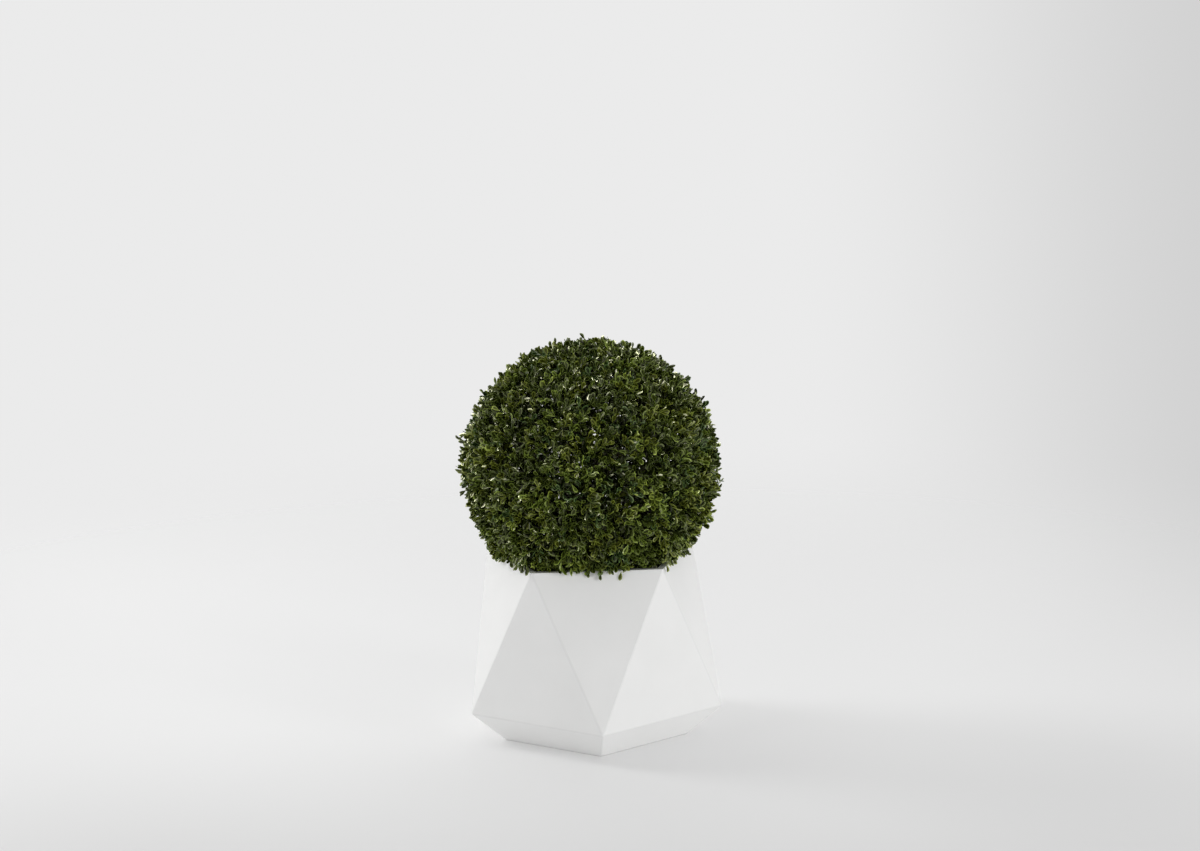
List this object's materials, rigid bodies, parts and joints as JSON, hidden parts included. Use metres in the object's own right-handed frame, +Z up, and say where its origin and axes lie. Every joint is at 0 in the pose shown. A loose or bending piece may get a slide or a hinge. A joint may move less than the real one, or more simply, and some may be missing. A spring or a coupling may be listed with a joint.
{
  "type": "artificial box topiary ball in a faceted planter",
  "caption": "Clipped ball of artificial box foliage on a short hidden stem, sunk in the mouth of a hollow white planter with triangular facets.",
  "frame": {"origin": "centre of the planter's flat underside, where it meets the floor", "axes": "+Z up through the ball; -Y out of the front corner of the planter's waist; +X to the right as seen from the front"},
  "size_m": [0.4773, 0.4842, 0.7384],
  "materials": {
    "planter_plastic": "satin",
    "bark_chips": "matte",
    "bark": "matte",
    "foliage": "satin"
  },
  "bodies": {
    "root": {"planter": "planter_plastic", "planter_filling": "bark_chips", "stem": "bark", "bough_1": "bark", "bough_2": "bark", "bough_3": "bark", "bough_4": "bark", "bough_5": "bark", "foliage_ball": "foliage"}
  },
  "joints": []
}
